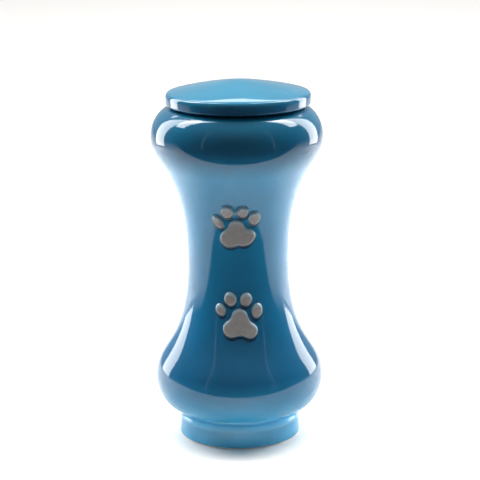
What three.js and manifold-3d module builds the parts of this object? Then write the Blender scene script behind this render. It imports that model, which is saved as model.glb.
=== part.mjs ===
// A glazed ceramic pet urn with a loose lid. Its body has the outline of a bone standing on end:
// a foot, a lower bulge, a narrow waist and an upper bulge. Two raised paw prints are on its front.
// Millimetres, +Z up. The origin is the middle of the foot's underside, and the front faces -Y.

import * as THREE from 'three';
import { mergeVertices } from 'three/addons/utils/BufferGeometryUtils.js';
import Module from 'manifold-3d';

// Foot and underside
const footRadius = 40.6;
const footHeight = 15.5;
const footDraw = 0.4;
const footEdge = 1.5;
const footShoulder = 3.6;
const footRing = 6.5;
const undersideRecess = 3;
const grooveDepth = 4.2;
const grooveRise = 2.9;

// Outline of the body, each level measured from the one below it
const lowerBulgeRadius = 56.8;
const lowerBulgeRise = 22.6;
const waistRadius = 33.95;
const waistRise = 80;
const upperBulgeRadius = 56.95;
const upperBulgeRise = 83.7;
const shoulderRise = 19.4;
const seatRadius = 41.5;

// How full each stretch of the outline is, as a share of its own rise or reach
const undersideReach = 0.75;
const undersideFullness = 0.42;
const lowerBulgeFullness = 0.27;
const waistFullness = 0.73;
const upperWaistFullness = 0.745;
const upperBulgeFullness = 0.25;
const shoulderFullness = 0.47;
const shoulderReach = 0.58;

// Walls and mouth
const wall = 5;
const floorWall = 5;
const boreRound = 3;
const mouthRadius = 33;

// Lid, which lies loose and a little off the axis
const lidGap = 0.3;
const lidShift = 1.2;
const lidRadius = 47.8;
const lidRim = 9;
const lidUnderRound = 2.2;
const lidUnderReach = 4.3;
const lidTopRound = 3.4;
const lidTopReach = 2.4;
const lidTopTurn = 76;
const domeRise = 7.8;
const domeStart = 5.2;
const domeCrown = 0.24;
const lidWall = 5;
const ringClearance = 1.5;
const ringDepth = 8;
const ringWall = 5;

// Paw prints: raised by the relief, with rounded edges, and rooted in the wall
const relief = 1.5;
const reliefRound = 1.3;
const reliefRoot = 2;
const padBlend = 1.6;
// Each print stands at a rise from the waist. A toe is [across, up, width, length, lean in degrees],
// and the pad is soft circles [across, up, radius] that run together.
const upperPrint = {
  rise: 22.8, shift: 0.2, lean: 2.6,
  toes: [
    [-12.5, 11.1, 5.4, 9.7, -36],
    [-6.1, 17.8, 7.8, 8.1, -16],
    [3.9, 17.4, 7.1, 7, 8],
    [11.2, 12.5, 7.3, 8.7, 20],
  ],
  pad: [[-0.85, 7.7, 4.5], [-5.35, -0.3, 6], [8, 1.1, 2.5], [3.8, -0.3, 5.35]],
};
const lowerPrint = {
  rise: -38.8, shift: 1.4, lean: -2.6,
  toes: [
    [-13.6, 12.1, 6.2, 7.8, -31],
    [-7.5, 19.6, 7.6, 8.8, -24],
    [2.6, 19.7, 7.3, 8.5, 10],
    [10.1, 12.3, 7, 9.2, 10],
  ],
  pad: [[-1.25, 9.3, 4.25], [-6.5, 0.2, 4.95], [6.4, -0.6, 4.4], [-0.5, 3.2, 5.9]],
};

// Facets
const turnSteps = 44;
const roundSteps = 3;
const outsideSteps = 7;
const insideSteps = 4;
const fineSteps = 56;
const reliefSteps = 2;
const toeSteps = 14;
const padSteps = 30;
const halvings = 40;

// Levels that follow from the sizes above
const grooveRadius = footRadius - grooveDepth;
const grooveHeight = footHeight + grooveRise;
const lowerBulgeHeight = grooveHeight + lowerBulgeRise;
const waistHeight = lowerBulgeHeight + waistRise;
const upperBulgeHeight = waistHeight + upperBulgeRise;
const seatHeight = upperBulgeHeight + shoulderRise;
const lidUnderside = seatHeight + lidGap;

const glaze = new THREE.MeshStandardMaterial({ color: 0x2f7fae, roughness: 0.12, metalness: 0 });
const lidGlaze = new THREE.MeshStandardMaterial({ color: 0x3b8dbb, roughness: 0.12, metalness: 0 });

const point = (radius, height) => new THREE.Vector2(radius, height);

// A quarter round from one angle to another, in degrees
function round(radius, height, reach, rise, from, to) {
  const turn = new THREE.EllipseCurve(
    radius, height, reach, rise,
    THREE.MathUtils.degToRad(from), THREE.MathUtils.degToRad(to), from > to,
  );
  return turn.getPoints(roundSteps);
}

// Points set off from an outline to its left by a distance, square to it
function offset(points, distance) {
  return points.map((here, index) => {
    const before = points[Math.max(index - 1, 0)];
    const after = points[Math.min(index + 1, points.length - 1)];
    const along = after.clone().sub(before).normalize();
    return point(here.x - along.y * distance, here.y + along.x * distance);
  });
}

// The height of an outline where it passes a radius
function heightAt(outline, radius) {
  const next = outline.findIndex((each) => each.x < radius);
  const near = outline[next];
  const far = outline[next - 1];
  return near.y + ((radius - near.x) * (far.y - near.y)) / (far.x - near.x);
}

// The four curves from the groove over the foot up to the seat of the lid
function bodyOutline(steps) {
  const shoulderHeight = seatHeight - upperBulgeHeight;
  const curves = [
    new THREE.CubicBezierCurve(
      point(grooveRadius, grooveHeight),
      point(grooveRadius + undersideReach * (lowerBulgeRadius - grooveRadius), grooveHeight),
      point(lowerBulgeRadius, lowerBulgeHeight - undersideFullness * lowerBulgeRise),
      point(lowerBulgeRadius, lowerBulgeHeight),
    ),
    new THREE.CubicBezierCurve(
      point(lowerBulgeRadius, lowerBulgeHeight),
      point(lowerBulgeRadius, lowerBulgeHeight + lowerBulgeFullness * waistRise),
      point(waistRadius, waistHeight - waistFullness * waistRise),
      point(waistRadius, waistHeight),
    ),
    new THREE.CubicBezierCurve(
      point(waistRadius, waistHeight),
      point(waistRadius, waistHeight + upperWaistFullness * upperBulgeRise),
      point(upperBulgeRadius, upperBulgeHeight - upperBulgeFullness * upperBulgeRise),
      point(upperBulgeRadius, upperBulgeHeight),
    ),
    new THREE.CubicBezierCurve(
      point(upperBulgeRadius, upperBulgeHeight),
      point(upperBulgeRadius, upperBulgeHeight + shoulderFullness * shoulderHeight),
      point(seatRadius + shoulderReach * (upperBulgeRadius - seatRadius), seatHeight),
      point(seatRadius, seatHeight),
    ),
  ];
  return curves.flatMap((curve, index) => curve.getPoints(steps).slice(index ? 1 : 0));
}

// Turns an outline about the Z axis
function turned(outline) {
  return new THREE.LatheGeometry(outline, turnSteps).rotateX(Math.PI / 2);
}

function bodyGeometry() {
  const outside = bodyOutline(outsideSteps);
  const inside = offset(bodyOutline(insideSteps), wall).reverse();
  const ringRadius = footRadius - footRing;
  const boreRadius = grooveRadius - wall;
  const boreTop = grooveHeight + wall;
  const floorHeight = undersideRecess + floorWall;
  const topRadius = footRadius - footDraw - footShoulder;
  return turned([
    point(0, undersideRecess),
    point(ringRadius, undersideRecess),
    point(ringRadius, 0),
    ...round(footRadius - footEdge, footEdge, footEdge, footEdge, -90, 0),
    ...round(topRadius, footHeight - footShoulder, footShoulder, footShoulder, 0, 90),
    ...outside,
    point(mouthRadius, seatHeight),
    point(mouthRadius, seatHeight - wall),
    ...inside,
    ...round(boreRadius + boreRound, boreTop - boreRound, boreRound, boreRound, 90, 180),
    ...round(boreRadius - boreRound, floorHeight + boreRound, boreRound, boreRound, 0, -90),
    point(0, floorHeight),
  ]);
}

function lidGeometry() {
  const rimTop = lidUnderside + lidRim;
  const crown = rimTop + domeRise;
  const side = round(lidRadius - lidTopReach, rimTop - lidTopRound, lidTopReach, lidTopRound, 0, lidTopTurn);
  const edge = side[side.length - 1];
  const turn = THREE.MathUtils.degToRad(lidTopTurn);
  const slope = point(-lidTopReach * Math.sin(turn), lidTopRound * Math.cos(turn)).setLength(domeStart);
  const dome = new THREE.CubicBezierCurve(
    edge,
    edge.clone().add(slope),
    point(edge.x * domeCrown, crown),
    point(0, crown),
  ).getPoints(outsideSteps);
  const ringOuter = mouthRadius - ringClearance;
  const ringInner = ringOuter - ringWall;
  const ringFoot = seatHeight - ringDepth;
  const ceiling = offset(dome, lidWall);
  const clear = ceiling.filter((each) => each.x < ringInner).reverse();
  return turned([
    point(0, crown - lidWall),
    ...clear.slice(1),
    point(ringInner, heightAt(ceiling, ringInner)),
    point(ringInner, ringFoot),
    point(ringOuter, ringFoot),
    point(ringOuter, lidUnderside),
    ...round(lidRadius - lidUnderReach, lidUnderside + lidUnderRound, lidUnderReach, lidUnderRound, -90, 0),
    ...side,
    ...dome.slice(1),
  ]);
}

const fineOutline = bodyOutline(fineSteps);

// The body's radius and the slope of its outline at a height
function wallAt(height) {
  const next = fineOutline.findIndex((each) => each.y > height);
  const low = fineOutline[next - 1];
  const high = fineOutline[next];
  const slope = (high.x - low.x) / (high.y - low.y);
  return { radius: low.x + slope * (height - low.y), slope };
}

// A place on the front of the body, across and up along its surface, lifted square off it
function onFront(across, height, lift) {
  const { radius, slope } = wallAt(height);
  const square = Math.hypot(1, slope);
  const turn = across / radius;
  const reach = radius + lift / square;
  return [reach * Math.sin(turn), -reach * Math.cos(turn), height - (lift * slope) / square];
}

// How far a point lies outside a toe, below zero inside it
function outsideToe([across, up, width, length, lean], x, y) {
  const turn = THREE.MathUtils.degToRad(lean);
  const wide = ((x - across) * Math.cos(turn) - (y - up) * Math.sin(turn)) / (width / 2);
  const long = ((x - across) * Math.sin(turn) + (y - up) * Math.cos(turn)) / (length / 2);
  return Math.hypot(wide, long) - 1;
}

// The same for a pad, whose circles run together
function outsidePad(circles, x, y) {
  const sum = circles.reduce(
    (total, [across, up, radius]) => total + Math.exp((radius - Math.hypot(x - across, y - up)) / padBlend),
    0,
  );
  return -Math.log(sum);
}

// The distance from a centre to an outline in one direction, by halving
function reachOf(outside, centre, angle) {
  let near = 0;
  let far = 4 * lowerBulgeRadius;
  for (let halving = 0; halving < halvings; halving += 1) {
    const middle = (near + far) / 2;
    const past = outside(centre[0] + middle * Math.cos(angle), centre[1] + middle * Math.sin(angle)) > 0;
    if (past) {
      far = middle;
    } else {
      near = middle;
    }
  }
  return near;
}

// A raised shape of a print, bent round the front: rings from its root in the wall to its top
function raised(print, outside, centre, steps) {
  const edge = Array.from({ length: reliefSteps }, (_, index) => {
    const turn = ((index + 1) / reliefSteps) * (Math.PI / 2);
    return { inset: reliefRound * (1 - Math.cos(turn)), lift: relief - reliefRound * (1 - Math.sin(turn)) };
  });
  const rings = [{ inset: 0, lift: -reliefRoot }, { inset: 0, lift: relief - reliefRound }, ...edge];
  const lean = THREE.MathUtils.degToRad(print.lean);
  const place = (x, y, lift) => onFront(
    print.shift + x * Math.cos(lean) - y * Math.sin(lean),
    waistHeight + print.rise + x * Math.sin(lean) + y * Math.cos(lean),
    lift,
  );
  const positions = [];
  const addRing = (lift, reachAt) => {
    for (let step = 0; step < steps; step += 1) {
      const angle = (step / steps) * 2 * Math.PI;
      const reach = reachAt(reachOf(outside, centre, angle));
      const across = centre[0] + reach * Math.cos(angle);
      const up = centre[1] + reach * Math.sin(angle);
      positions.push(...place(across, up, lift));
    }
  };
  rings.forEach(({ inset, lift }) => addRing(lift, (reach) => reach - inset));
  addRing(relief, (reach) => (reach - reliefRound) / 2);
  positions.push(...place(centre[0], centre[1], relief));
  positions.push(...place(centre[0], centre[1], -reliefRoot));
  const ringCount = rings.length + 1;
  const top = ringCount * steps;
  const root = top + 1;
  const index = [];
  for (let step = 0; step < steps; step += 1) {
    const next = (step + 1) % steps;
    for (let ring = 0; ring < ringCount - 1; ring += 1) {
      const low = ring * steps;
      const high = low + steps;
      index.push(low + step, low + next, high + next, low + step, high + next, high + step);
    }
    const last = (ringCount - 1) * steps;
    index.push(last + step, last + next, top, next, step, root);
  }
  const geometry = new THREE.BufferGeometry();
  geometry.setAttribute('position', new THREE.Float32BufferAttribute(positions, 3));
  geometry.setIndex(index);
  return geometry;
}

// The five raised shapes of a print
function printGeometries(print) {
  const toes = print.toes.map(
    (toe) => raised(print, (x, y) => outsideToe(toe, x, y), [toe[0], toe[1]], toeSteps),
  );
  const count = print.pad.length;
  const middle = [0, 1].map((axis) => print.pad.reduce((sum, circle) => sum + circle[axis], 0) / count);
  return [...toes, raised(print, (x, y) => outsidePad(print.pad, x, y), middle, padSteps)];
}

const wasm = await Module();
wasm.setup();

// A closed mesh with shared vertices and no flattened triangles, as a solid
function solid(geometry) {
  const bare = geometry.clone();
  bare.deleteAttribute('normal');
  bare.deleteAttribute('uv');
  const merged = mergeVertices(bare, 1e-5);
  const corners = Array.from(merged.index.array);
  const triVerts = [];
  for (let first = 0; first < corners.length; first += 3) {
    const [a, b, c] = corners.slice(first, first + 3);
    if (a !== b && b !== c && c !== a) {
      triVerts.push(a, b, c);
    }
  }
  return new wasm.Manifold(new wasm.Mesh({
    numProp: 3,
    vertProperties: merged.attributes.position.array,
    triVerts: Uint32Array.from(triVerts),
  }));
}

function geometryOf(manifold) {
  const mesh = manifold.getMesh();
  const geometry = new THREE.BufferGeometry();
  geometry.setAttribute('position', new THREE.BufferAttribute(mesh.vertProperties, 3));
  geometry.setIndex(new THREE.BufferAttribute(mesh.triVerts, 1));
  geometry.computeVertexNormals();
  return geometry;
}

const prints = [upperPrint, lowerPrint].flatMap(printGeometries);
const casting = prints.reduce((body, each) => body.add(solid(each)), solid(bodyGeometry()));

const urnBody = new THREE.Mesh(geometryOf(casting), glaze);
urnBody.name = 'urn_body';

const lid = new THREE.Mesh(geometryOf(solid(lidGeometry())), lidGlaze);
lid.name = 'lid';
lid.position.x = lidShift;

const urn = new THREE.Group();
urn.add(urnBody, lid);

export default urn;
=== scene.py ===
import math
import bmesh
import bpy
from mathutils import Matrix, Quaternion, Vector
from mathutils.geometry import interpolate_bezier


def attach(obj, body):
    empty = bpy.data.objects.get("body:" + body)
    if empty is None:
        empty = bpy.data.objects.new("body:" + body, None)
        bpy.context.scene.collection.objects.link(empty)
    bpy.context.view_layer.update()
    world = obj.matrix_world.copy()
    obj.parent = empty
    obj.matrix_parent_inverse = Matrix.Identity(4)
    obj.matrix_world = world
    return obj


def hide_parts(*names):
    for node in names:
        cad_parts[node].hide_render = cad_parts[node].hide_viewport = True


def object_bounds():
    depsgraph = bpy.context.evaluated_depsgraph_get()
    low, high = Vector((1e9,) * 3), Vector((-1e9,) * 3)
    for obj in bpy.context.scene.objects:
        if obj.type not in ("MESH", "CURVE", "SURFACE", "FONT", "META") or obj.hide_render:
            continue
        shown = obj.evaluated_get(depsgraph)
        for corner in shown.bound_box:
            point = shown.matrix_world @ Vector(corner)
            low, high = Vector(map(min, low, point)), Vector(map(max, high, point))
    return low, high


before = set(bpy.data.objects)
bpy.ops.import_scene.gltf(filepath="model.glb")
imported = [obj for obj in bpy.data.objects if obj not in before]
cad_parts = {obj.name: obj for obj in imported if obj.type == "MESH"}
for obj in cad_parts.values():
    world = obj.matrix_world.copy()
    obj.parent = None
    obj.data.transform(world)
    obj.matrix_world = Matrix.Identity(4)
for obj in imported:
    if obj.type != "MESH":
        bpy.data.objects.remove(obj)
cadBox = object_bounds()

# Every size below is in millimetres. The urn's height in the frame gives the millimetre.
urnHeight = 241.2
mm = (cadBox[1].z - cadBox[0].z) / urnHeight


# Shared helpers

def flat(radius, height):
    return Vector((radius, 0, height))


def curve(start, startHandle, endHandle, end, steps=48):
    return [Vector(p) for p in interpolate_bezier(start, startHandle, endHandle, end, steps + 1)]


def rounded(radius, height, reach, rise, fromAngle, toAngle, steps=8):
    # A quarter of an ellipse in the plane of the outline, angles in degrees
    points = []
    for step in range(steps + 1):
        turn = math.radians(fromAngle + (toAngle - fromAngle) * step / steps)
        points.append(flat(radius + reach * math.cos(turn), height + rise * math.sin(turn)))
    return points


def offset(points, distance):
    # The outline moved to its left, square to itself
    moved = []
    for index, here in enumerate(points):
        before = points[max(index - 1, 0)]
        after = points[min(index + 1, len(points) - 1)]
        along = (after - before).normalized()
        moved.append(flat(here.x - along.z * distance, here.z + along.x * distance))
    return moved


def respaced(points, spacingAt):
    # Walks the outline and sets a point at every spacing, which may change with height
    found = [points[0]]
    travelled = 0
    for before, after in zip(points, points[1:]):
        length = (after - before).length
        done = 0
        while length and travelled + (length - done) >= spacingAt(found[-1].z):
            done += spacingAt(found[-1].z) - travelled
            found.append(before.lerp(after, done / length))
            travelled = 0
        travelled += length - done
    if (points[-1] - found[-1]).length > 0.2 * spacingAt(points[-1].z):
        found.append(points[-1])
    else:
        found[-1] = points[-1]
    return found


def outlineWire(bm, points, startTurn):
    # The outline as a wire of edges, turned to where the spin starts
    place = Matrix.Rotation(startTurn, 3, "Z")
    verts = [bm.verts.new(place @ (p * mm)) for p in points]
    edges = [bm.edges.new(pair) for pair in zip(verts, verts[1:])]
    return verts + edges


def spun(bm, geom, turn, steps):
    made = bmesh.ops.spin(
        bm, geom=geom, cent=(0, 0, 0), axis=(0, 0, 1), dvec=(0, 0, 0),
        angle=turn, steps=steps, use_merge=turn >= 2 * math.pi, use_duplicate=False,
    )
    return made["geom_last"]


def closeSeams(bm):
    bmesh.ops.remove_doubles(bm, verts=bm.verts, dist=0.004 * mm)
    bmesh.ops.dissolve_degenerate(bm, edges=bm.edges, dist=0.001 * mm)
    bmesh.ops.recalc_face_normals(bm, faces=bm.faces)


def finishedPiece(bm, name, materials, node):
    mesh = bpy.data.meshes.new(name)
    for face in bm.faces:
        face.smooth = True
    bm.to_mesh(mesh)
    bm.free()
    for material in materials:
        mesh.materials.append(material)
    piece = bpy.data.objects.new(name, mesh)
    bpy.context.scene.collection.objects.link(piece)
    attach(piece, "root")
    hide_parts(node)
    print(name, len(mesh.polygons), "faces")
    return piece


# Camera and floor

cameraSet = {
    "distance": 1158.5, "height": 426.4, "side": 1.4,
    "pitch": 14.206, "roll": -0.6, "lens": 134.4,
}


def makeCamera(c):
    data = bpy.data.cameras.new("camera")
    data.lens = c["lens"]
    data.sensor_width = 36
    data.clip_start = 0.05
    data.clip_end = 50
    camera = bpy.data.objects.new("camera", data)
    look = Matrix.Rotation(math.radians(90 - c["pitch"]), 4, "X")
    lean = Matrix.Rotation(math.radians(c["roll"]), 4, "Z")
    place = Matrix.Translation(Vector((c["side"], -c["distance"], c["height"])) * mm)
    camera.matrix_world = place @ look @ lean
    bpy.context.scene.collection.objects.link(camera)
    bpy.context.scene.camera = camera


makeCamera(cameraSet)
print("camera in place")


# Nodes of a material by short calls

def newMaterial(name):
    material = bpy.data.materials.new(name)
    material.use_nodes = True
    nodes = material.node_tree.nodes
    return material, nodes, material.node_tree.links, nodes["Principled BSDF"]


def objectNoise(nodes, links, scale):
    # Noise on Object coordinates, with its scale in features per metre
    coords = nodes.new("ShaderNodeTexCoord")
    texture = nodes.new("ShaderNodeTexNoise")
    texture.inputs["Scale"].default_value = scale
    links.new(coords.outputs["Object"], texture.inputs["Vector"])
    return texture


def ramp(nodes, links, source, stops):
    node = nodes.new("ShaderNodeValToRGB")
    elements = node.color_ramp.elements
    while len(elements) < len(stops):
        elements.new(0.5)
    for element, (position, colour) in zip(elements, stops):
        element.position = position
        element.color = (*colour, 1)
    links.new(source, node.inputs["Fac"])
    return node.outputs["Color"]


def spread(nodes, links, source, fromLow, fromHigh, toLow=0, toHigh=1):
    node = nodes.new("ShaderNodeMapRange")
    node.interpolation_type = "SMOOTHSTEP"
    node.inputs["From Min"].default_value = fromLow
    node.inputs["From Max"].default_value = fromHigh
    node.inputs["To Min"].default_value = toLow
    node.inputs["To Max"].default_value = toHigh
    links.new(source, node.inputs["Value"])
    return node.outputs["Result"]


def mixed(nodes, links, share, first, second):
    node = nodes.new("ShaderNodeMix")
    node.data_type = "RGBA"
    links.new(share, node.inputs["Factor"])
    for socket, value in (("A", first), ("B", second)):
        target = [s for s in node.inputs if s.name == socket and s.type == "RGBA"][0]
        if isinstance(value, tuple):
            target.default_value = (*value, 1)
        else:
            links.new(value, target)
    return [s for s in node.outputs if s.type == "RGBA"][0]


def sumOrProduct(nodes, links, operation, first, second):
    node = nodes.new("ShaderNodeMath")
    node.operation = operation
    links.new(first, node.inputs[0])
    links.new(second, node.inputs[1])
    return node.outputs["Value"]


def scaled(nodes, links, source, factor):
    node = nodes.new("ShaderNodeMath")
    node.operation = "MULTIPLY"
    node.inputs[1].default_value = factor
    links.new(source, node.inputs[0])
    return node.outputs["Value"]


# Glaze

glazeSet = {
    # The glaze's colours by height: darker round the bulges, paler in the waist, over the foot and on the
    # lid.
    # These bands are partly the glaze's own tone where it lies thicker and thinner, and partly painted
    # light and shade:
    # the pale band over the foot's top, the paler waist and the lighter lid top are painted light, the
    # darker bulges painted shade
    "bodyToneAndShadeByHeight": [
        (4, (0.055, 0.36, 0.62)), (11, (0.036, 0.28, 0.49)), (14, (0.23, 0.62, 0.86)),
        (17, (0.23, 0.62, 0.86)), (22, (0.03, 0.26, 0.46)), (50, (0.006, 0.095, 0.205)),
        (92, (0.007, 0.125, 0.26)),
        (155, (0.012, 0.22, 0.43)), (184, (0.014, 0.26, 0.50)), (203, (0.006, 0.09, 0.19)),
        (220, (0.006, 0.12, 0.22)),
    ],
    "lidToneAndShadeByHeight": [
        (228, (0.006, 0.10, 0.22)), (234, (0.013, 0.15, 0.245)),
    ],
    # The dark blue darkens the glaze round and under the paw prints: partly pooled glaze, partly painted
    # shade in the fillet and painted shadow below the relief
    "mottle": (0.90, 1.08), "poolAndShadeColour": (0.002, 0.028, 0.062),
    "roughness": 0.055, "ior": 1.5,
    "clay": (0.80, 0.79, 0.77), "clayLine": 0.8, "clayBlur": 0.25,
    "mottleScale": 22, "mottleDetail": 3, "mottleRange": (0.3, 0.7), "peelScale": 260, "peelDepth": 0.012,
}
enamelSet = {
    "colour": (0.270, 0.256, 0.253), "pale": (0.325, 0.311, 0.308), "roughness": 0.16,
    "brushScale": 300, "brushRange": (0.3, 0.75), "edge": 0, "blur": 0.3, "liftShare": 0.18,
    # The rim colour paints the prints' upper edges pale: partly glaze thinned over them, partly painted
    # light where they face up
    "rim": (0.33, 0.47, 0.56), "rimStart": -0.6, "rimEnd": 1.4,
    # These place the darker glaze in a ring round each print and a crescent below it: partly pooled glaze,
    # partly painted shade and painted shadow
    "downShift": 2.2, "shadowPoolEdge": 0.1, "shadowPoolBlur": 0.7, "haloShare": 0.55, "haloReach": 1.3, "away": 9,
}


def makeGlaze(name, g, withPrints):
    material, nodes, links, shader = newMaterial(name)
    shader.inputs["Roughness"].default_value = g["roughness"]
    shader.inputs["IOR"].default_value = g["ior"]
    mottle = objectNoise(nodes, links, g["mottleScale"])
    mottle.inputs["Detail"].default_value = g["mottleDetail"]
    coords = nodes.new("ShaderNodeTexCoord")
    axes = nodes.new("ShaderNodeSeparateXYZ")
    links.new(coords.outputs["Object"], axes.inputs["Vector"])
    share = scaled(nodes, links, axes.outputs["Z"], 1 / (urnHeight * mm))
    heights = g["bodyToneAndShadeByHeight" if withPrints else "lidToneAndShadeByHeight"]
    # Colours by height: partly the glaze's own tone, partly painted light and shade on the foot band,
    # waist, lid top and bulges
    even = ramp(nodes, links, share, [(height / urnHeight, colour) for height, colour in heights])
    uneven = nodes.new("ShaderNodeVectorMath")
    uneven.operation = "SCALE"
    links.new(even, uneven.inputs["Vector"])
    depth = spread(nodes, links, mottle.outputs["Fac"], *g["mottleRange"], *g["mottle"])
    links.new(depth, uneven.inputs["Scale"])
    colour = uneven.outputs["Vector"]
    if withPrints:
        outside = nodes.new("ShaderNodeAttribute")
        outside.attribute_name = "printDistance"
        below = nodes.new("ShaderNodeAttribute")
        below.attribute_name = "printShiftedDown"
        e = enamelSet
        # A dark ring round each print and a dark crescent below it: partly pooled glaze, partly painted
        # shade in the fillet and painted shadow cast by the relief
        shadowPoolStart, shadowPoolEnd = e["shadowPoolEdge"] + e["shadowPoolBlur"], e["shadowPoolEdge"] - e["shadowPoolBlur"]
        shadowPool = spread(nodes, links, below.outputs["Fac"], shadowPoolStart, shadowPoolEnd)
        poolAndShadeHalo = spread(nodes, links, outside.outputs["Fac"], e["haloReach"], 0, 0, e["haloShare"])
        colour = mixed(nodes, links, poolAndShadeHalo, colour, g["poolAndShadeColour"])
        colour = mixed(nodes, links, shadowPool, colour, g["poolAndShadeColour"])
        high = scaled(nodes, links, below.outputs["Fac"], -e["liftShare"])
        brushLine = sumOrProduct(nodes, links, "ADD", outside.outputs["Fac"], high)
        painted = spread(nodes, links, brushLine, e["edge"] + e["blur"], e["edge"] - e["blur"])
        brushed = objectNoise(nodes, links, e["brushScale"])
        strokes = zip(e["brushRange"], (e["colour"], e["pale"]))
        enamel = ramp(nodes, links, brushed.outputs["Fac"], list(strokes))
        # Pale rims on the prints' upper edges: partly thin glaze over the edge, partly painted light on
        # faces turned up
        thinAndLitRim = spread(nodes, links, below.outputs["Fac"], e["rimStart"], e["rimEnd"])
        enamel = mixed(nodes, links, thinAndLitRim, enamel, e["rim"])
        colour = mixed(nodes, links, painted, colour, enamel)
        rough = spread(nodes, links, painted, 0, 1, g["roughness"], e["roughness"])
        links.new(rough, shader.inputs["Roughness"])
        clayTop = (g["clayLine"] + g["clayBlur"]) * mm
        bare = spread(nodes, links, axes.outputs["Z"], clayTop, g["clayLine"] * mm)
        colour = mixed(nodes, links, bare, colour, g["clay"])
    links.new(colour, shader.inputs["Base Color"])
    peel = objectNoise(nodes, links, g["peelScale"])
    bump = nodes.new("ShaderNodeBump")
    bump.inputs["Strength"].default_value = g["peelDepth"]
    bump.inputs["Distance"].default_value = 1 * mm
    links.new(peel.outputs["Fac"], bump.inputs["Height"])
    links.new(bump.outputs["Normal"], shader.inputs["Normal"])
    return material


# Urn body

bodySet = {
    "footRadius": 40.6, "footHeight": 15.5, "footDraw": 0.4, "footEdge": 1.5, "footShoulder": 3.6,
    "footRing": 6.5, "undersideRecess": 3, "grooveDepth": 4.2, "grooveRise": 2.9,
    "lowerBulgeRadius": 56.8, "lowerBulgeRise": 22.6, "waistRadius": 33.95, "waistRise": 80,
    "upperBulgeRadius": 56.95, "upperBulgeRise": 83.7, "shoulderRise": 19.4, "seatRadius": 41.5,
    "undersideReach": 0.75, "undersideFullness": 0.42, "lowerBulgeFullness": 0.27, "waistFullness": 0.73,
    "upperWaistFullness": 0.745, "upperBulgeFullness": 0.25,
    "shoulderFullness": 0.47, "shoulderReach": 0.58,
    "wall": 5, "floorWall": 5, "boreRound": 3, "mouthRadius": 33, "edgeRound": 0.8,
    "frontTurn": 62, "frontSteps": 112, "restSteps": 104,
    "spacing": 1.6, "printSpacing": 0.36, "insideSpacing": 4, "printBelow": 11, "printAbove": 25,
}


def bodyLevels(b):
    groove = b["footHeight"] + b["grooveRise"]
    lower = groove + b["lowerBulgeRise"]
    waist = lower + b["waistRise"]
    upper = waist + b["upperBulgeRise"]
    return groove, lower, waist, upper, upper + b["shoulderRise"]


def bodyOutline(b):
    # From the groove over the foot up to the seat of the lid, as one smooth line
    groove, lower, waist, upper, seat = bodyLevels(b)
    grooveRadius = b["footRadius"] - b["grooveDepth"]
    lowerRadius, waistRadius, upperRadius = b["lowerBulgeRadius"], b["waistRadius"], b["upperBulgeRadius"]
    seatRadius = b["seatRadius"]
    run = curve(
        flat(grooveRadius, groove),
        flat(grooveRadius + b["undersideReach"] * (lowerRadius - grooveRadius), groove),
        flat(lowerRadius, lower - b["undersideFullness"] * b["lowerBulgeRise"]),
        flat(lowerRadius, lower),
    )
    run += curve(
        flat(lowerRadius, lower),
        flat(lowerRadius, lower + b["lowerBulgeFullness"] * b["waistRise"]),
        flat(waistRadius, waist - b["waistFullness"] * b["waistRise"]),
        flat(waistRadius, waist),
    )[1:]
    run += curve(
        flat(waistRadius, waist),
        flat(waistRadius, waist + b["upperWaistFullness"] * b["upperBulgeRise"]),
        flat(upperRadius, upper - b["upperBulgeFullness"] * b["upperBulgeRise"]),
        flat(upperRadius, upper),
    )[1:]
    run += curve(
        flat(upperRadius, upper),
        flat(upperRadius, upper + b["shoulderFullness"] * b["shoulderRise"]),
        flat(seatRadius + b["shoulderReach"] * (upperRadius - seatRadius), seat),
        flat(seatRadius, seat),
    )[1:]
    return run


# Paw prints: a toe is [across, up, width, length, lean], a pad is soft circles [across, up, radius]
reliefSet = {"height": 1.5, "round": 1.1, "fillet": 1.4, "padBlend": 1.6}
upperPrint = {
    "rise": 22.8, "shift": 0.2, "lean": 2.6,
    "toes": [
        (-12.5, 11.1, 5.4, 9.7, -36), (-6.1, 17.8, 7.8, 8.1, -16),
        (3.9, 17.4, 7.1, 7, 8), (11.2, 12.5, 7.3, 8.7, 20),
    ],
    "pad": [(-0.85, 7.7, 4.5), (-5.35, -0.3, 6), (8, 1.1, 2.5), (3.8, -0.3, 5.35)],
}
lowerPrint = {
    "rise": -38.8, "shift": 1.4, "lean": -2.6,
    "toes": [
        (-13.6, 12.1, 6.2, 7.8, -31), (-7.5, 19.6, 7.6, 8.8, -24),
        (2.6, 19.7, 7.3, 8.5, 10), (10.1, 12.3, 7, 9.2, 10),
    ],
    "pad": [(-1.25, 9.3, 4.25), (-6.5, 0.2, 4.95), (6.4, -0.6, 4.4), (-0.5, 3.2, 5.9)],
}


def toeDistance(toe, x, y):
    # How far outside the toe's oval a point lies, below zero inside it
    across, up, width, length, lean = toe
    turn = math.radians(lean)
    wide = (x - across) * math.cos(turn) - (y - up) * math.sin(turn)
    long = (x - across) * math.sin(turn) + (y - up) * math.cos(turn)
    share = math.hypot(wide / (width / 2), long / (length / 2))
    slope = math.hypot(wide / (width / 2) ** 2, long / (length / 2) ** 2)
    return share * (share - 1) / slope if slope > 1e-9 else -width / 2


def padDistance(pad, blend, x, y):
    total = sum(math.exp((radius - math.hypot(x - across, y - up)) / blend) for across, up, radius in pad)
    return -blend * math.log(total)


def printDistance(paw, relief, across, height, waist):
    lean = math.radians(paw["lean"])
    aside = across - paw["shift"]
    above = height - waist - paw["rise"]
    x = aside * math.cos(lean) + above * math.sin(lean)
    y = above * math.cos(lean) - aside * math.sin(lean)
    nearest = min(toeDistance(toe, x, y) for toe in paw["toes"])
    return min(nearest, padDistance(paw["pad"], relief["padBlend"], x, y))


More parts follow.
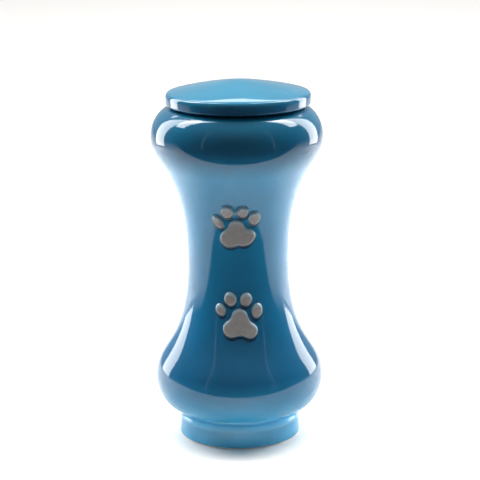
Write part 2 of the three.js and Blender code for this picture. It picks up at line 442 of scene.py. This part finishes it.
def reliefHeight(relief, distance):
    # A rounded edge inside the outline and a small hollow fillet outside it
    height, edge, fillet = relief["height"], relief["round"], relief["fillet"]
    foot = height - edge
    if distance <= -edge:
        return height
    if distance <= 0:
        return foot + math.sqrt(max(edge ** 2 - (edge + distance) ** 2, 0))
    if distance < fillet:
        return foot * (1 - distance / fillet) ** 2
    return 0


def makeBody(b, relief, prints, materials):
    groove, _, waist, _, seat = bodyLevels(b)
    outline = bodyOutline(b)
    low = waist + min(paw["rise"] for paw in prints) - b["printBelow"]
    high = waist + max(paw["rise"] for paw in prints) + b["printAbove"]

    def spacingAt(height):
        near = any(-b["printBelow"] < height - waist - paw["rise"] < b["printAbove"] for paw in prints)
        return b["printSpacing"] if near else b["spacing"]

    ring = b["footRadius"] - b["footRing"]
    edge, shoulder = b["edgeRound"], b["footShoulder"]
    topRadius = b["footRadius"] - b["footDraw"] - shoulder
    bore = b["footRadius"] - b["grooveDepth"] - b["wall"]
    boreTop, floor, boreRound = groove + b["wall"], b["undersideRecess"] + b["floorWall"], b["boreRound"]
    inside = respaced(offset(outline, b["wall"])[::-1], lambda height: b["insideSpacing"])
    profile = [flat(0, b["undersideRecess"]), flat(ring - edge, b["undersideRecess"])]
    profile += rounded(ring + edge, edge, edge, edge, 180, 270)
    profile += rounded(b["footRadius"] - b["footEdge"], b["footEdge"], b["footEdge"], b["footEdge"], -90, 0)
    profile += rounded(topRadius, b["footHeight"] - shoulder, shoulder, shoulder, 0, 90)
    profile += respaced(outline, spacingAt)
    profile += rounded(b["mouthRadius"] + edge, seat - edge, edge, edge, 90, 180)
    profile += rounded(b["mouthRadius"] + edge, seat - b["wall"] + edge, edge, edge, 180, 270)
    profile += inside
    profile += rounded(bore + boreRound, boreTop - boreRound, boreRound, boreRound, 90, 180)
    profile += rounded(bore - boreRound, floor + boreRound, boreRound, boreRound, 0, -90)
    profile += [flat(0, floor)]

    bm = bmesh.new()
    frontTurn = math.radians(b["frontTurn"])
    wire = outlineWire(bm, profile, -math.pi / 2 - frontTurn / 2)
    last = spun(bm, wire, frontTurn, b["frontSteps"])
    spun(bm, last, 2 * math.pi - frontTurn, b["restSteps"])
    closeSeams(bm)

    # The prints rise square to the wall, and each point keeps its distance to their outlines
    layer = bm.verts.layers.float.new("printDistance")
    # Distances to each print's outline moved down: they place the dark crescent below it (partly painted
    # shadow), the pale upper rim (partly painted light) and the enamel's lift
    downShift = bm.verts.layers.float.new("printShiftedDown")
    bm.normal_update()
    outer = {}
    for vert in bm.verts:
        radius = math.hypot(vert.co.x, vert.co.y) / mm
        height = vert.co.z / mm
        vert[layer] = vert[downShift] = enamelSet["away"]
        isWall = vert.normal.x * vert.co.x + vert.normal.y * vert.co.y > 0
        if isWall and low < height < high and vert.co.y < 0:
            across = math.atan2(vert.co.x, -vert.co.y) * radius
            distance = min(printDistance(paw, relief, across, height, waist) for paw in prints)
            above = height + enamelSet["downShift"]
            lower = min(printDistance(paw, relief, across, above, waist) for paw in prints)
            vert[layer] = min(distance, enamelSet["away"])
            vert[downShift] = min(lower, enamelSet["away"])
            lift = reliefHeight(relief, distance)
            if lift > 0:
                outer[vert] = vert.co + vert.normal * lift * mm
    for vert, place in outer.items():
        vert.co = place
    return finishedPiece(bm, "urnBody", materials, "urn_body")


# Lid

lidSet = {
    "gap": 0.3, "shift": 1.2, "radius": 47.8, "rim": 9, "underRound": 2.2, "underReach": 4.3,
    "topRound": 3.4, "topReach": 2.4, "topTurn": 76,
    "domeRise": 7.8, "domeStart": 5.2, "domeCrown": 0.24, "wall": 5,
    "ringClearance": 1.5, "ringDepth": 8, "ringWall": 5, "edgeRound": 0.8, "ceilingRound": 2,
    "steps": 160, "spacing": 1.2,
}


def makeLid(l, b, materials):
    seat = bodyLevels(b)[-1]
    under = seat + l["gap"]
    rimTop = under + l["rim"]
    crown = rimTop + l["domeRise"]
    reach, rise = l["topReach"], l["topRound"]
    side = rounded(l["radius"] - reach, rimTop - rise, reach, rise, 0, l["topTurn"], 20)
    top = side[-1]
    turn = math.radians(l["topTurn"])
    slope = flat(-reach * math.sin(turn), rise * math.cos(turn)).normalized() * l["domeStart"]
    dome = curve(top, top + slope, flat(top.x * l["domeCrown"], crown), flat(0, crown))
    ringOuter = b["mouthRadius"] - l["ringClearance"]
    ringInner, ringFoot, edge = ringOuter - l["ringWall"], seat - l["ringDepth"], l["edgeRound"]
    corner, underReach, underRound = l["ceilingRound"], l["underReach"], l["underRound"]
    ceiling = [p for p in offset(dome, l["wall"])[::-1] if edge < p.x < ringInner - corner]
    profile = [flat(0, crown - l["wall"])] + ceiling
    profile += rounded(ringInner - corner, ceiling[-1].z - corner, corner, corner, 90, 0)
    profile += rounded(ringInner + edge, ringFoot + edge, edge, edge, 180, 270)
    profile += rounded(ringOuter - edge, ringFoot + edge, edge, edge, -90, 0)
    profile += rounded(ringOuter + edge, under - edge, edge, edge, 180, 90)
    profile += rounded(l["radius"] - underReach, under + underRound, underReach, underRound, -90, 0, 14)
    profile += side + respaced(dome, lambda height: l["spacing"])[1:]
    bm = bmesh.new()
    wire = outlineWire(bm, profile, 0)
    spun(bm, wire, 2 * math.pi, l["steps"])
    closeSeams(bm)
    bmesh.ops.translate(bm, verts=bm.verts, vec=(l["shift"] * mm, 0, 0))
    return finishedPiece(bm, "lidPiece", materials, "lid")


bodyGlaze = makeGlaze("bodyGlaze", glazeSet, True)
lidGlaze = makeGlaze("lidGlaze", glazeSet, False)
makeBody(bodySet, reliefSet, [upperPrint, lowerPrint], [bodyGlaze])
makeLid(lidSet, bodySet, [lidGlaze])


# Floor and studio light

studioSet = {
    "floorHalf": 5.0, "floorColour": (0.89, 0.875, 0.855), "floorRoughness": 0.9, "floorGloss": 0.1,
    # The floor ends this far in front of the urn
    "floorFront": 0.20,
    "stripTurn": 119, "stripDistance": 0.78, "stripWidth": 0.30, "stripSpan": (0.03, 1.7),
    "stripRadiance": 7,
    "panelTurn": 113, "panelRise": 55, "panelRoll": 58, "panelDistance": 0.95, "panelSize": (0.85, 0.24),
    "panelRadiance": 11,
    "fillSize": (2.6, 3.6), "fillPlace": (0, 1.3, 2.2), "fillRadiance": 2.4,
    "backSize": (1.9, 0.13), "backPlace": (0, 1.15, 1.16), "backRadiance": 4,
    "seamTurns": (-45, 49), "seamDistance": 1.3, "seamWidth": 0.035, "seamSpan": (0.01, 1.7),
    "seamRadiance": 0.9,
    "skyRadiance": 0.54, "frontRadiance": 0.10, "overheadRadiance": 0.22,
    # Where the sky turns from its front to its back, and overhead, by its direction's y and z
    "behindRange": (-0.2, 0.8), "overheadRange": (0.2, 1), "topOfUrn": 0.235,
}


def areaLight(name, size, place, aim, radiance, roll=0):
    # A rectangle of light, by how bright its face looks, turned in its own plane by the roll
    data = bpy.data.lights.new(name, "AREA")
    data.shape = "RECTANGLE"
    data.size, data.size_y = size
    data.energy = radiance * math.pi * size[0] * size[1]
    light = bpy.data.objects.new(name, data)
    place = Vector(place)
    light.location = place
    facing = (Vector(aim) - place).to_track_quat("-Z", "Y")
    light.rotation_euler = (facing @ Quaternion((0, 0, 1), math.radians(roll))).to_euler()
    bpy.context.scene.collection.objects.link(light)
    return light


def uprightLight(name, turn, distance, width, span, radiance):
    # Faces the urn at a turn from the camera's side, from one height to another
    x, y = math.sin(math.radians(turn)) * distance, -math.cos(math.radians(turn)) * distance
    middle = sum(span) / 2
    areaLight(name, (width, span[1] - span[0]), (x, y, middle), (0, 0, middle), radiance)


def paleFloor(s):
    material, _, _, shader = newMaterial("paleFloor")
    shader.inputs["Base Color"].default_value = (*s["floorColour"], 1)
    shader.inputs["Roughness"].default_value = s["floorRoughness"]
    shader.inputs["Specular IOR Level"].default_value = s["floorGloss"]
    return material


def makeFloor(s):
    bm = bmesh.new()
    bmesh.ops.create_grid(bm, x_segments=1, y_segments=1, size=s["floorHalf"])
    bmesh.ops.translate(bm, verts=bm.verts, vec=(0, s["floorHalf"] - s["floorFront"], 0))
    mesh = bpy.data.meshes.new("floor")
    bm.to_mesh(mesh)
    bm.free()
    mesh.materials.append(paleFloor(s))
    floor = bpy.data.objects.new("floor", mesh)
    bpy.context.scene.collection.objects.link(floor)


def makeStudio(s):
    for name, side in (("stripLeft", -1), ("stripRight", 1)):
        turn = side * s["stripTurn"]
        uprightLight(name, turn, s["stripDistance"], s["stripWidth"], s["stripSpan"], s["stripRadiance"])
    for name, turn in zip(("seamLeft", "seamRight"), s["seamTurns"]):
        uprightLight(name, turn, s["seamDistance"], s["seamWidth"], s["seamSpan"], s["seamRadiance"])
    top = Vector((0, 0, s["topOfUrn"]))
    rise = math.radians(s["panelRise"])
    out = s["panelDistance"] * math.cos(rise)
    for name, side in (("panelLeft", -1), ("panelRight", 1)):
        turn = math.radians(side * s["panelTurn"])
        raised = s["panelDistance"] * math.sin(rise)
        place = top + Vector((math.sin(turn) * out, -math.cos(turn) * out, raised))
        areaLight(name, s["panelSize"], place, top, s["panelRadiance"], side * s["panelRoll"])
    # Lights the floor and the matt shades only, and isn't mirrored in the glaze
    below = (0, s["fillPlace"][1], 0)
    fill = areaLight("fillLight", s["fillSize"], s["fillPlace"], below, s["fillRadiance"])
    fill.visible_glossy = False
    areaLight("backLight", s["backSize"], s["backPlace"], top, s["backRadiance"])


def makeSky(s):
    # Bright behind, dim in front
    world = bpy.data.worlds.new("studio")
    bpy.context.scene.world = world
    world.use_nodes = True
    nodes, links = world.node_tree.nodes, world.node_tree.links
    background = nodes["Background"]
    coords = nodes.new("ShaderNodeTexCoord")
    axes = nodes.new("ShaderNodeSeparateXYZ")
    links.new(coords.outputs["Generated"], axes.inputs["Vector"])
    levels = s["frontRadiance"], s["skyRadiance"]
    behind = spread(nodes, links, axes.outputs["Y"], *s["behindRange"], *levels)
    overhead = spread(nodes, links, axes.outputs["Z"], *s["overheadRange"], 0, s["overheadRadiance"])
    links.new(sumOrProduct(nodes, links, "ADD", behind, overhead), background.inputs["Strength"])
    background.inputs["Color"].default_value = (1, 1, 1, 1)


makeFloor(studioSet)
makeStudio(studioSet)
makeSky(studioSet)
bpy.context.scene.view_settings.view_transform = "Standard"
print("studio in place")
